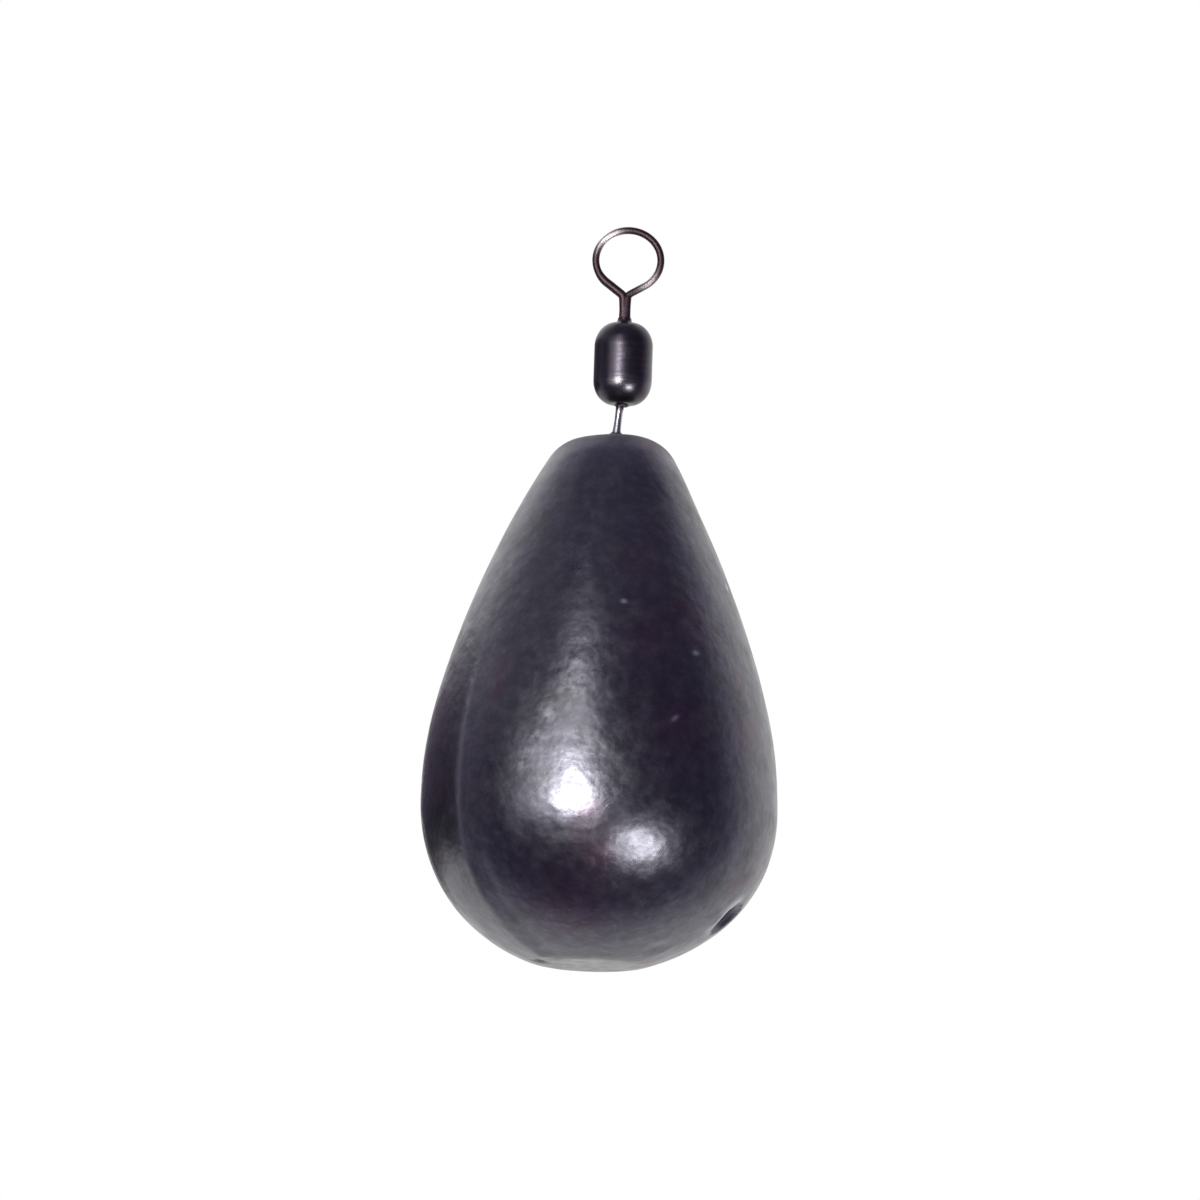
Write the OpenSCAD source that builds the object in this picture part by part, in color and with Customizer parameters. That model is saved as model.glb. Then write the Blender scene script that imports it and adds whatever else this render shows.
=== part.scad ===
/* [Lead body] */
// Height of the casting from the cut base to the crown of the nose
body_height = 32.7; // [30:0.1:37]
// Diameter of the belly, the widest place
belly_diameter = 21.9; // [18:0.1:24]
// Height of the belly's widest place above the base
belly_height = 9.6; // [8:0.1:12]
// Diameter of the flat left where the pouring sprue was cut off
base_flat_diameter = 6.4; // [4:0.1:8]
// Diameter of the flat crown on the nose
nose_flat_diameter = 3.3; // [2.6:0.1:4]
// Radius of the rounded shoulder round the crown
nose_round = 2.8; // [2:0.1:3.4]

/* [Casting marks] */
// Width of the parting line of the two mould halves
seam_width = 0.35; // [0.1:0.05:0.8]
// How far the parting line stands proud
seam_height = 0.05; // [0.02:0.01:0.15]
// Turn of the parting line from the front, in degrees
seam_turn = -52; // [-90:1:0]
// Diameter of the large shrinkage pit low on the right
pit_diameter = 3.4; // [2:0.1:4.5]
// Depth of the large pit
pit_depth = 0.55; // [0.2:0.05:1]
// Diameter of the small shrinkage pit near the base
dimple_diameter = 1.9; // [1:0.1:3]
// Depth of the small pit
dimple_depth = 0.14; // [0.05:0.01:0.4]

/* [Swivel barrel] */
// Outer diameter of the barrel
barrel_diameter = 3.5; // [3.1:0.05:4]
// Length of the barrel from mouth to mouth
barrel_length = 5.1; // [4.6:0.1:7]
// Wall of the barrel
barrel_wall = 0.32; // [0.25:0.01:0.45]
// Radius of the shoulder where the tube is closed in
shoulder_round = 1; // [0.7:0.05:1.3]
// Diameter of the lip at each mouth
lip_diameter = 1.2; // [1.1:0.05:1.5]

/* [Wire eyes] */
// Diameter of the wire
wire_diameter = 0.4; // [0.3:0.01:0.5]
// Outer diameter of the ring
ring_diameter = 4.3; // [3.6:0.02:5]
// Length of the pressed neck, from the barrel's mouth to where the legs part
neck_length = 1.4; // [0.8:0.05:2]
// Width of the pressed neck, across both legs
neck_width = 0.64; // [0.6:0.01:0.64]
// Thickness of the pressed neck
neck_thickness = 0.46; // [0.42:0.01:0.56]
// Radius of the bend where each leg leaves the neck
leg_bend = 0.45; // [0.4:0.05:0.9]
// Diameter of the round journal that turns in the mouth
journal_diameter = 0.66; // [0.66:0.01:0.74]
// Diameter of the upset head inside the barrel
head_diameter = 1.4; // [1.1:0.05:2]
// Length of the head's straight side
head_side = 0.35; // [0.2:0.05:0.6]
// Height of the head's domed end
head_dome = 0.22; // [0.1:0.02:0.3]

/* [Place of the swivel] */
// How far the barrel's axis stands to the right of the body's axis
swivel_offset = 0.6; // [0:0.05:0.8]
// Bare stem between the crown and the barrel
stem_gap = 2.15; // [1.4:0.05:2.4]
// Lean of the lower eye in the casting, in degrees
stem_lean = 5; // [0:0.5:8]

/* [Hidden] */
$fn = 96;

// Overrun of every cut
overrun = 0.1;
// Running clearance, on the radius, between a journal and its mouth
mouth_clearance = 0.05;
// Free play between a head and the inside of the barrel, along the axis
end_play = 0.08;
// How far a journal shows outside its mouth
journal_show = 0.08;
// How deep each length of an eye is rooted in the next
wire_root = 0.05;
// How much slimmer a straight leg is than the bends that it is rooted in
root_step = 0.005;
// How far the pressed neck stands proud of the round legs
press_step = 0.015;
// Skin gap that the shrinking lead leaves round the cast-in wire
cast_gap = 0.01;
// How deep the level crown cuts into the nose arc
crown_cut = 0.01;
// How much deeper each flatter arc of the outline is set in than the next rounder one
arc_set_in = 0.002;
// How far a rounder arc runs on past its joint into a flatter one
arc_run_on = 1;

// Angles of the body's outline above and below the belly, from level
belly_angle = 15.7;
flank_angle = 30.4;
heel_angle = 49.8;
base_angle = 74.3;
// Half angle of the barrel's closed-in ends, from the axis
cone_angle = 60;
// Angle at which each leg runs into the ring, from the ring's lowest point
leg_angle = 34;
// Places of the two pits: turn from the front, and angle below level
pit_turn = 75;
pit_drop = 44.5;
dimple_turn = 47;
dimple_drop = 64;

belly_radius = belly_diameter / 2;
base_flat_radius = base_flat_diameter / 2;
nose_flat_radius = nose_flat_diameter / 2;

// The radii of two arcs that run tangent to each other, the first from level to
// angle a and the second from a to b, over an inward step dr and a climb dz
function arc_pair(dr, dz, a, b) =
    let (p = 1 - cos(a), q = cos(a) - cos(b), s = sin(a), t = sin(b) - sin(a), d = p * t - q * s)
    [(dr * t - q * dz) / d, (p * dz - s * dr) / d];

// The nose arc, which the level crown cuts
nose_centre = [
    nose_flat_radius - sqrt(nose_round * nose_round - pow(nose_round - crown_cut, 2)),
    body_height - nose_round + crown_cut];

// Above the belly: belly arc and flank arc
upper = arc_pair(
    belly_radius - nose_centre.x - nose_round * cos(flank_angle),
    nose_centre.y + nose_round * sin(flank_angle) - belly_height,
    belly_angle, flank_angle);
belly_round = upper[0];
flank_round = upper[1];
belly_centre = [belly_radius - belly_round, belly_height];
flank_centre = belly_centre + (belly_round - flank_round) * [cos(belly_angle), sin(belly_angle)];

// Below the belly: heel arc and base arc
lower = arc_pair(belly_radius - base_flat_radius, belly_height, heel_angle, base_angle);
heel_round = lower[0];
base_round = lower[1];
heel_centre = [belly_radius - heel_round, belly_height];
base_centre = heel_centre + (heel_round - base_round) * [cos(heel_angle), -sin(heel_angle)];

// The whole outline from the base up, and the angle above level at each joint
outline_centres = [base_centre, heel_centre, belly_centre, flank_centre, nose_centre];
outline_rounds = [base_round, heel_round, belly_round, flank_round, nose_round];
joint_angles = [-heel_angle, 0, belly_angle, flank_angle];

// Flatter arcs are set in deeper, and a rounder arc runs on into its flatter neighbour, so that
// the two cross in one clean edge
function set_in(round) = arc_set_in * len([for (r = outline_rounds) if (r < round) r]);
function run_on(round, neighbour) = round < neighbour ? arc_run_on : 0;
function joint_height(i, grow) =
    outline_centres[i].y + (outline_rounds[i] + grow) * sin(joint_angles[i]);

// The swivel, from the crown upwards
barrel_radius = barrel_diameter / 2;
barrel_low = body_height + stem_gap;
barrel_high = barrel_low + barrel_length;
barrel_middle = barrel_low + barrel_length / 2;
lip_radius = lip_diameter / 2;
mouth_radius = journal_diameter / 2 + mouth_clearance;

// The closed-in end, as heights above the barrel's middle
lip_height = barrel_length / 2;
cone_height = lip_height - (barrel_radius - shoulder_round * (1 - cos(cone_angle)) - lip_radius) / tan(cone_angle);
shoulder_height = cone_height - shoulder_round * sin(cone_angle);
shoulder_centre = barrel_radius - shoulder_round;
inner_round = shoulder_round - barrel_wall;
inner_cone_height = shoulder_height + inner_round * sin(cone_angle);
inner_cone_radius = shoulder_centre + inner_round * cos(cone_angle);
mouth_height = inner_cone_height + (inner_cone_radius - mouth_radius) / tan(cone_angle);
mouth_depth = lip_height - mouth_height;

// The wire eye, as heights above the mouth
wire_radius = wire_diameter / 2;
journal_radius = journal_diameter / 2;
head_radius = head_diameter / 2;
ring_radius = ring_diameter / 2 - wire_radius;
leg_offset = neck_width / 2 - press_step - wire_radius;
leg_length = (ring_radius * sin(leg_angle) - leg_offset - leg_bend * (1 - sin(leg_angle))) / cos(leg_angle);
leg_foot = [
    leg_offset + leg_bend * (1 - sin(leg_angle)),
    neck_length + leg_bend * cos(leg_angle)];
ring_height = leg_foot.y + leg_length * sin(leg_angle) + ring_radius * cos(leg_angle);

// Part of a convex outline: what lies between the axis and one arc, from z0 to z1
module arc_band(centre, radius, z0, z1) {
    intersection() {
        union() {
            translate(centre) circle(radius);
            if (centre.x > 0) translate([0, z0]) square([centre.x, z1 - z0]);
        }
        translate([0, z0]) square([centre.x + radius, z1 - z0]);
    }
}

// Half of the body's outline, grown outwards by an even amount and left uncut at both ends
module body_outline(grow) {
    last = len(outline_rounds) - 1;
    for (i = [0:last]) {
        round = outline_rounds[i];
        low = i == 0 ? -overrun
            : joint_height(i - 1, grow) - run_on(round, outline_rounds[i - 1]);
        high = i == last ? body_height + overrun
            : joint_height(i, grow) + run_on(round, outline_rounds[i + 1]);
        arc_band(outline_centres[i], round + grow - set_in(round), low, high);
    }
}

// The mould halves' parting line: a thin plate that stands proud all round the casting
module parting_line() {
    rotate([0, 0, seam_turn - 90])
        rotate([90, 0, 0])
            translate([0, 0, -seam_width / 2])
                linear_extrude(seam_width) {
                    body_outline(seam_height);
                    mirror([1, 0]) body_outline(seam_height);
                }
}

// Body and parting line, cut level at the base and at the crown
module casting() {
    intersection() {
        union() {
            rotate_extrude() body_outline(0);
            parting_line();
        }
        cylinder(h = body_height, r = belly_diameter);
    }
}

// A shallow dish sunk into the surface, square to it, where an arc of the outline lies
module dish(centre, round, turn, drop, diameter, depth) {
    ball = (diameter * diameter / 4 + depth * depth) / (2 * depth);
    reach = round + ball - depth;
    rotate([0, 0, turn - 90])
        translate([centre.x + reach * cos(drop), 0, centre.y - reach * sin(drop)])
            sphere(ball);
}

module lead_body() {
    color("#2e2a35")
        difference() {
            casting();
            dish(heel_centre, heel_round, pit_turn, pit_drop, pit_diameter, pit_depth);
            dish(base_centre, base_round, dimple_turn, dimple_drop, dimple_diameter, dimple_depth);
            place_lower_eye() eye_wire(cast_gap, stem_lean);
        }
}

// A torus segment of wire in the XZ plane, from angle a0 on, about the origin
module wire_arc(radius, grow, a0, sweep) {
    rotate([90, 0, 0])
        rotate([0, 0, a0])
            rotate_extrude(angle = sweep)
                translate([radius, 0]) circle(wire_radius + grow);
}

// One leg: its bend out of the neck, then straight into the ring
module leg(grow) {
    root_turn = wire_root / leg_bend * 180 / PI;
    translate([leg_offset + leg_bend, 0, neck_length])
        wire_arc(leg_bend, grow, 90 + leg_angle, 90 - leg_angle + root_turn);
    translate([leg_foot.x, 0, leg_foot.y])
        rotate([0, 90 - leg_angle, 0])
            translate([0, 0, -wire_root])
                cylinder(h = leg_length + 2 * wire_root, r = wire_radius + grow - root_step);
}

// The wire outside the journal: neck, legs and ring, leaning about the journal's end
module eye_wire(grow, lean) {
    translate([0, 0, journal_show])
        rotate([lean, 0, 0])
            translate([0, 0, -journal_show]) {
                translate([0, 0, journal_show - wire_root])
                    linear_extrude(neck_length - journal_show + wire_root) neck_section(grow);
                leg(grow);
                mirror([1, 0, 0]) leg(grow);
                translate([0, 0, ring_height])
                    wire_arc(ring_radius, grow, leg_angle - 90, 360 - 2 * leg_angle);
            }
}

// Both legs pressed into one oval
module neck_section(grow) {
    end_radius = neck_thickness / 2 + grow;
    end_offset = (neck_width - neck_thickness) / 2;
    for (side = [-1, 1]) translate([side * end_offset, 0]) circle(end_radius);
    square([2 * end_offset, 2 * end_radius], center = true);
}

// The upset head and the journal, which turn inside the barrel
module headed_end() {
    seat = -mouth_depth - end_play + (mouth_radius - journal_radius) / tan(cone_angle);
    side = seat - (head_radius - journal_radius) / tan(cone_angle);
    end = side - head_side;
    ball = (head_radius * head_radius + head_dome * head_dome) / (2 * head_dome);
    rotate_extrude() {
        polygon([
            [0, journal_show], [journal_radius, journal_show], [journal_radius, seat],
            [head_radius, side], [head_radius, end], [0, end]]);
        intersection() {
            translate([0, end - head_dome + ball]) circle(ball);
            translate([0, end - head_dome]) square([head_radius, head_dome + head_side / 2]);
        }
    }
}

module eye(lean) {
    headed_end();
    eye_wire(0, lean);
}

// The lower eye hangs under the barrel, its ring edge-on to the front
module place_lower_eye() {
    translate([swivel_offset, 0, barrel_low])
        rotate([0, 0, 90]) rotate([180, 0, 0]) children();
}

module lower_eye() {
    color("#4a4550") place_lower_eye() eye(stem_lean);
}

module upper_eye() {
    color("#4a4550")
        translate([swivel_offset, 0, barrel_high]) eye(0);
}

// Half of one end's outline, from the barrel's middle to a mouth
module barrel_end(radius, round, cone_start, cone_radius, end_height, end_radius) {
    arc_band([shoulder_centre, shoulder_height], round, shoulder_height, cone_start);
    square([radius, shoulder_height]);
    polygon([[0, cone_start], [cone_radius, cone_start], [end_radius, end_height], [0, end_height]]);
}

module swivel_barrel() {
    cone_radius = shoulder_centre + shoulder_round * cos(cone_angle);
    bore_radius = barrel_radius - barrel_wall;
    color("#26242b")
        translate([swivel_offset, 0, barrel_middle])
            rotate_extrude()
                difference() {
                    for (flip = [0, 1]) mirror([0, flip])
                        barrel_end(barrel_radius, shoulder_round, cone_height, cone_radius,
                            lip_height, lip_radius);
                    for (flip = [0, 1]) mirror([0, flip])
                        barrel_end(bore_radius, inner_round, inner_cone_height, inner_cone_radius,
                            mouth_height, mouth_radius);
                    translate([0, -barrel_length / 2 - overrun])
                        square([mouth_radius, barrel_length + 2 * overrun]);
                }
}

lead_body();
lower_eye();
swivel_barrel();
upper_eye();
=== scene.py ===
"""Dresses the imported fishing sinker: a cast lead pear with a barrel swivel in its nose."""

import math

import bmesh
import bpy
from mathutils import Matrix, Vector


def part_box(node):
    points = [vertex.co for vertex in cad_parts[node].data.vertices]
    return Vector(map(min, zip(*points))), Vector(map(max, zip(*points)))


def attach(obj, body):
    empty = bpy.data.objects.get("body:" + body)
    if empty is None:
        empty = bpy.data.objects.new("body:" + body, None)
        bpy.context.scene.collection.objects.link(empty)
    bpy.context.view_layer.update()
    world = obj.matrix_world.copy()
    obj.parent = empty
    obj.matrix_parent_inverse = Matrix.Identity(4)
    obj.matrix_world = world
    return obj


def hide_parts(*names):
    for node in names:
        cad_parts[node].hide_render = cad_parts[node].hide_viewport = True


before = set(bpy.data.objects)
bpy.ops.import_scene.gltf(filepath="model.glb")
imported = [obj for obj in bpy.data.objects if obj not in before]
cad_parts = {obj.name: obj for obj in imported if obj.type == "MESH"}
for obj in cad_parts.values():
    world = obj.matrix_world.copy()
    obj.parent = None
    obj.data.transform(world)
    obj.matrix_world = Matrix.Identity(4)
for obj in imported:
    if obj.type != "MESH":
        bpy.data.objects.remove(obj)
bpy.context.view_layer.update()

bl_info = {
    "name": "Barrel Swivel Sinker",
    "version": (1, 0, 0),
    "blender": (4, 5, 0),
    "location": "3D View > Sidebar > Sinker",
    "description": "Builds a cast fishing sinker with its swivel, finishes and studio",
    "category": "Object",
}

LEAD_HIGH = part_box("lead_body")[1]
BARREL_LOW, BARREL_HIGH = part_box("swivel_barrel")
RING_LOW, RING_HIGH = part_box("upper_eye")

MM = 0.001
DOUBLES = 1e-7


# Nodes


def arithmetic(operation):
    """One operation of the Math node as a Python operator, and its reflected form."""
    def straight(pin, other):
        return pin.math(operation, pin, other)

    def reflected(pin, other):
        return pin.math(operation, other, pin)

    return straight, reflected


class Pin:
    """One output of a node. Arithmetic on it adds Math nodes to its tree."""

    def __init__(self, work, socket):
        self.work = work
        self.socket = socket

    def out(self, name):
        """Another output of the same node."""
        return Pin(self.work, self.socket.node.outputs[name])

    def math(self, operation, *terms, clamp=False):
        settings = {"operation": operation, "use_clamp": clamp}
        return self.work.add("ShaderNodeMath", settings, terms)

    __add__, __radd__ = arithmetic("ADD")
    __sub__, __rsub__ = arithmetic("SUBTRACT")
    __mul__, __rmul__ = arithmetic("MULTIPLY")
    __truediv__, __rtruediv__ = arithmetic("DIVIDE")
    __pow__, __rpow__ = arithmetic("POWER")

    def least(self, other):
        return self.math("MINIMUM", self, other)

    def most(self, other):
        return self.math("MAXIMUM", self, other)

    def rounded(self):
        return self.math("ROUND", self)

    def sine(self):
        return self.math("SINE", self)

    def cosine(self):
        return self.math("COSINE", self)

    def cut(self):
        """The value kept between 0 and 1."""
        return self.math("ADD", self, 0.0, clamp=True)

    def bell(self, width):
        """1 where the value is 0, falling off evenly over a width."""
        share = self / width
        return self.math("EXPONENT", share * share * -1.0)

    def step(self, low, high):
        """0 below low, 1 above high, and a smooth rise between them."""
        share = ((self - low) / (high - low)).cut()
        return share * share * (3.0 - 2.0 * share)


class NodeWork:
    """Adds nodes to one tree."""

    def __init__(self, tree):
        self.tree = tree

    def add(self, kind, settings=None, values=(), output=0):
        """A new node: its settings first, then the values or links of its inputs.

        It gives one output of the node, or the node itself where it has none.
        """
        node = self.tree.nodes.new(kind)
        for name, value in (settings or {}).items():
            setattr(node, name, value)
        pairs = values.items() if isinstance(values, dict) else enumerate(values)
        for key, value in pairs:
            if isinstance(value, Pin):
                self.tree.links.new(value.socket, node.inputs[key])
            elif value is not None:
                node.inputs[key].default_value = value
        return Pin(self, node.outputs[output]) if node.outputs else node

    def vector(self, operation, *terms):
        return self.add("ShaderNodeVectorMath", {"operation": operation}, terms)

    def scaled(self, vector, factor):
        return self.add(
            "ShaderNodeVectorMath", {"operation": "SCALE"}, {"Vector": vector, "Scale": factor})

    def axes(self, vector):
        """A vector taken apart, for out("X"), out("Y") and out("Z")."""
        return self.add("ShaderNodeSeparateXYZ", {}, [vector])

    def distance(self, vector, point):
        return self.vector("DISTANCE", vector, point).out("Value")

    def along(self, vector, direction):
        return self.vector("DOT_PRODUCT", vector, direction).out("Value")

    def noise(self, vector, scale, detail=2.0, roughness=0.5, distortion=0.0):
        values = {
            "Vector": vector, "Scale": scale, "Detail": detail,
            "Roughness": roughness, "Distortion": distortion}
        return self.add("ShaderNodeTexNoise", {}, values)

    def mix(self, factor, first, second):
        """A colour between two colours."""
        settings = {"data_type": "RGBA", "clamp_factor": True}
        first, second = (v if isinstance(v, Pin) else (*v, 1.0) for v in (first, second))
        return self.add("ShaderNodeMix", settings, {0: factor, 6: first, 7: second}, output=2)


def group_inputs(work, wanted):
    """Inputs of a geometry tree, given as their names by kind, as pins by name."""
    interface = work.tree.interface
    interface.new_socket("Geometry", in_out="INPUT", socket_type="NodeSocketGeometry")
    for kind, names in wanted.items():
        for name in names:
            interface.new_socket(name, in_out="INPUT", socket_type="NodeSocket" + kind)
    interface.new_socket("Geometry", in_out="OUTPUT", socket_type="NodeSocketGeometry")
    source = work.tree.nodes.new("NodeGroupInput")
    return {s.name: Pin(work, s) for s in source.outputs if s.name}


def group_output(work, geometry, material):
    """Ends a geometry tree in real, finished geometry."""
    real = work.add("GeometryNodeRealizeInstances", {}, [geometry])
    finished = work.add("GeometryNodeSetMaterial", {}, {"Geometry": real, "Material": material})
    sink = work.tree.nodes.new("NodeGroupOutput")
    work.tree.links.new(finished.socket, sink.inputs[0])


def linked(name, data):
    """A new object in the scene that shows some data."""
    shown = bpy.data.objects.new(name, data)
    bpy.context.scene.collection.objects.link(shown)
    return shown


def evaluated(holder):
    """The mesh that an object's modifiers leave, as plain data."""
    graph = bpy.context.evaluated_depsgraph_get()
    graph.update()
    return bpy.data.meshes.new_from_object(holder.evaluated_get(graph))


def tree_mesh(carrier, tree, values):
    """Runs a geometry tree on a curve object, which is then removed, and gives its mesh."""
    modifier = carrier.modifiers.new(tree.name, "NODES")
    modifier.node_group = tree
    identifiers = {
        item.name: item.identifier for item in tree.interface.items_tree
        if item.item_type == "SOCKET" and item.in_out == "INPUT"}
    for key, value in values.items():
        modifier[identifiers[key]] = value
    mesh = evaluated(carrier)
    curve = carrier.data
    bpy.data.objects.remove(carrier)
    bpy.data.curves.remove(curve)
    return mesh


def path_object(name, points):
    """A curve object that carries a path or an outline into a geometry tree.

    The fourth number of a point, where it has one, is its radius.
    """
    curve = bpy.data.curves.new(name, "CURVE")
    curve.dimensions = "3D"
    spline = curve.splines.new("POLY")
    spline.points.add(len(points) - 1)
    for slot, point in zip(spline.points, points):
        slot.co = (*point[:3], 1.0)
        slot.radius = point[3] if len(point) > 3 else 1.0
    return linked(name, curve)


def finished_piece(name, mesh, material):
    """A new object at the origin that shows a mesh, smooth and in one material."""
    old = bpy.data.objects.get(name)
    if old is not None:
        bpy.data.objects.remove(old)
    mesh.name = name
    mesh.materials.clear()
    mesh.materials.append(material)
    mesh.shade_smooth()
    return linked(name, mesh)


def mesh_of(work, name):
    """A new mesh out of a bmesh, which is freed."""
    mesh = bpy.data.meshes.new(name)
    work.to_mesh(mesh)
    work.free()
    return mesh


def face_outwards(mesh):
    """Turns every face round where a closed mesh is inside out."""
    work = bmesh.new()
    work.from_mesh(mesh)
    inside_out = work.calc_volume(signed=True) < 0
    work.free()
    if inside_out:
        mesh.flip_normals()


def merge_doubles(mesh):
    """Merges doubles and turns every face outwards."""
    work = bmesh.new()
    work.from_mesh(mesh)
    bmesh.ops.remove_doubles(work, verts=work.verts, dist=DOUBLES)
    bmesh.ops.recalc_face_normals(work, faces=work.faces)
    work.to_mesh(mesh)
    work.free()
    face_outwards(mesh)


# Sizes and colours that a user would change


def length(name, description, millimetres, low=0.0):
    """A length, whose default is given in millimetres."""
    return bpy.props.FloatProperty(
        name=name, description=description, default=millimetres * MM, min=low, precision=5,
        subtype="DISTANCE", unit="LENGTH")


def angle(name, description, degrees):
    """An angle, whose default is given in degrees."""
    return bpy.props.FloatProperty(
        name=name, description=description, default=math.radians(degrees),
        subtype="ANGLE", unit="ROTATION")


def colour(name, description, default):
    return bpy.props.FloatVectorProperty(
        name=name, description=description, default=default, min=0.0, soft_max=1.0,
        size=3, subtype="COLOR")


def number(name, description, default):
    return bpy.props.FloatProperty(name=name, description=description, default=default)


class SinkerCastingSizes(bpy.types.PropertyGroup):
    body_height: length("Body height", "From the cut base to the crown", LEAD_HIGH.z / MM)
    belly_radius: length("Belly radius", "Half of the widest place", 10.95)
    belly_height: length("Belly height", "Widest place above the base", 9.6)
    base_flat: length("Base flat", "Radius of the flat left by the sprue", 3.2)
    base_edge: length("Base edge", "How far the edge of the flat is worn round", 0.40)
    crown_flat: length("Crown flat", "Radius of the flat crown", 1.65)
    nose_round: length("Nose round", "Radius of the shoulder round the crown", 2.8)
    crown_edge: angle("Crown edge", "Where the nose round runs into the low crown", 80.0)
    crown_lift: length("Crown lift", "How much higher the crown stands on its right", 0.12)
    waviness: length("Waviness", "Height of the casting's slow unevenness", 0.045)
    foot_shift: length("Foot shift", "How far the base stands to the left", 0.19)
    heel_shift: length("Heel shift", "How far the heel stands to the right", 0.08)
    nose_shift: length("Nose shift", "How far the crown stands to the right", 0.10)
    seam_height: length("Seam height", "How far the parting line stands proud", 0.026)
    seam_swell: length("Seam swell", "How far the lead swells low on the parting line", 0.11)
    pit_radius: length("Pit radius", "Radius of the large shrinkage pit", 1.35)
    pit_depth: length("Pit depth", "Depth of the large shrinkage pit", 0.62)
    pit_lip: length("Pit lip", "How far the lead stands up on the pit's front side", 0.17)
    dimple_radius: length("Dimple radius", "Radius of the small pit", 1.05)
    dimple_depth: length("Dimple depth", "Depth of the small pit", 0.10)
    dimple_lip: length("Dimple lip", "Height of the small pit's rim", 0.015)
    foot_rise: length("Foot rise", "How far the lead is drawn up on the wire", 0.46)
    foot_reach: length("Foot reach", "How far from the wire it is drawn up", 0.38)
    nick_depth: length("Nick depth", "Depth of the nick at the cut base", 0.22)
    nick_reach: length("Nick reach", "Half of the nick's width", 0.42)


class SinkerSwivelSizes(bpy.types.PropertyGroup):
    barrel_radius: length("Barrel radius", "Outside radius of the tube", 1.80)
    barrel_wall: length("Barrel wall", "Wall of the tube", 0.32)
    end_drop: length("End drop", "Height of each closed-in end", 1.5)
    end_draw: length("End draw", "How far each end is drawn in", 1.25)
    lip_rise: length("Upper lip rise", "Height of the lip drawn up round the upper neck", 0.31)
    lip_fall: length("Lower lip rise", "Height of the lip drawn round the stem", 0.09)
    wire_radius: length("Wire radius", "Radius of the eye wire", 0.222)
    ring_width: length("Ring half width", "Centre line of the ring, sideways", 2.005)
    ring_rise: length("Ring half height", "Centre line of the ring, upwards", 1.865)
    ring_side: length("Ring side", "How far the ring stands to the right of its neck", 0.11)
    leg_bend: length("Leg bend", "Radius of the bend out of the neck", 0.38)
    neck_length: length("Neck length", "From the mouth to where the legs part", 1.53)
    stem_length: length("Stem length", "The same on the cast-in eye", 1.95)
    neck_width: length("Neck width", "Width of the pressed neck", 0.70)
    neck_depth: length("Neck thickness", "Thickness of the pressed neck", 0.46)
    journal_radius: length("Journal radius", "Radius where the eye turns", 0.33)
    head_radius: length("Head radius", "Radius of the upset head", 0.7)
    voxel: length("Wire mesh size", "Mesh size of the flowed wire", 0.024)


class SinkerFinishes(bpy.types.PropertyGroup):
    lead: colour("Lead", "Oxidised lead", (0.106, 0.104, 0.119))
    # Also paints a pinkish reflection on the left edge
    lead_tint: colour("Lead tint", "Purple bloom on the lead", (0.170, 0.095, 0.125))
    # Also paints the crown paler, a painted sheen of the light from above
    lead_pale: colour("Lead bloom", "Pale oxide on the lead", (0.168, 0.165, 0.188))
    lead_dull: colour("Lead haze", "Dull olive oxide on the lead", (0.070, 0.072, 0.066))
    barrel: colour("Barrel plating", "Black plating of the barrel", (0.066, 0.060, 0.072))
    wire: colour("Wire plating", "Brown-black plating of the wire", (0.050, 0.032, 0.038))
    # Worn places of the ring, also a painted highlight there
    worn: colour("Worn wire", "Wire where the plating is worn through", (0.74, 0.68, 0.66))
    stem: colour("Stem", "Bare steel between the barrel and the lead", (0.42, 0.42, 0.44))


class SinkerStudio(bpy.types.PropertyGroup):
    camera_distance: length("Camera distance", "From the camera to the middle", 1000.0)
    camera_drop: angle("Camera drop", "How far the camera looks up", 8.78)
    camera_roll: angle("Camera roll", "Lean of the object in the picture", 1.94)
    picture_width: length("Picture width", "Width that the picture takes in", 73.74)
    middle_height: length("Middle height", "Height at the picture's middle", 22.66)
    middle_side: length("Middle side", "Sideways place of the middle", -0.33, -1.0)
    floor_drop: length("Floor drop", "Floor below the hanging base", 58.0)
    lamp_distance: length("Lamp distance", "From the lamps to the casting", 600.0)
    key_light: number("Key light", "Brightness of the lamps at the left", 45.0)
    top_light: number("Top light", "Brightness of the small high lamp at the left", 14.0)
    glow_light: number("Glow light", "Brightness of the soft lamps round the left ones", 1.3)
    fill_light: number("Fill light", "Brightness of the low lamp at the right", 20.0)
    room_dark: colour("Room dark", "Colour of the dim room in front", (0.093, 0.073, 0.154))
    room_half: colour("Room half", "Colour of the dim room towards its edge", (0.78, 0.75, 1.04))
    room_rim: number("Room rim", "Where the dim room ends, as a cosine", -0.60)
    room_fade: number("Room fade", "How softly it ends, as a cosine", 0.80)
    room_lift: number("Room lift", "How much lighter the room is overhead", 0.18)
    room_light: number("Room light", "Strength of the soft light from all sides", 0.55)


# The casting

# Angles off level at which the arcs of the outline meet, above and below the widest place
BELLY_ANGLE = math.radians(15.7)
FLANK_ANGLE = math.radians(30.4)
HEEL_ANGLE = math.radians(49.8)
BASE_ANGLE = math.radians(74.3)
NOSE_INSET = 0.236 * MM

# Places on the casting: the parting plane's normal, turns from the front towards the right, and
# angles below level on the arc that carries the place
SEAM_TURN = math.radians(-52)
SEAM_SIDE = Vector((math.cos(SEAM_TURN), math.sin(SEAM_TURN), 0.0))
SEAM_REACH = 0.32 * MM
PIT_TURN = math.radians(79.5)
PIT_DROP = math.radians(44.5)
LIP_TURN = math.radians(68.5)
LIP_DROP = math.radians(47.5)
DIMPLE_TURN = math.radians(49)
DIMPLE_DROP = math.radians(64.5)
NICK_PLACE = Vector((-3.25, -0.75, 0.05)) * MM
STEM_FOOT = 0.30 * MM

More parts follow.
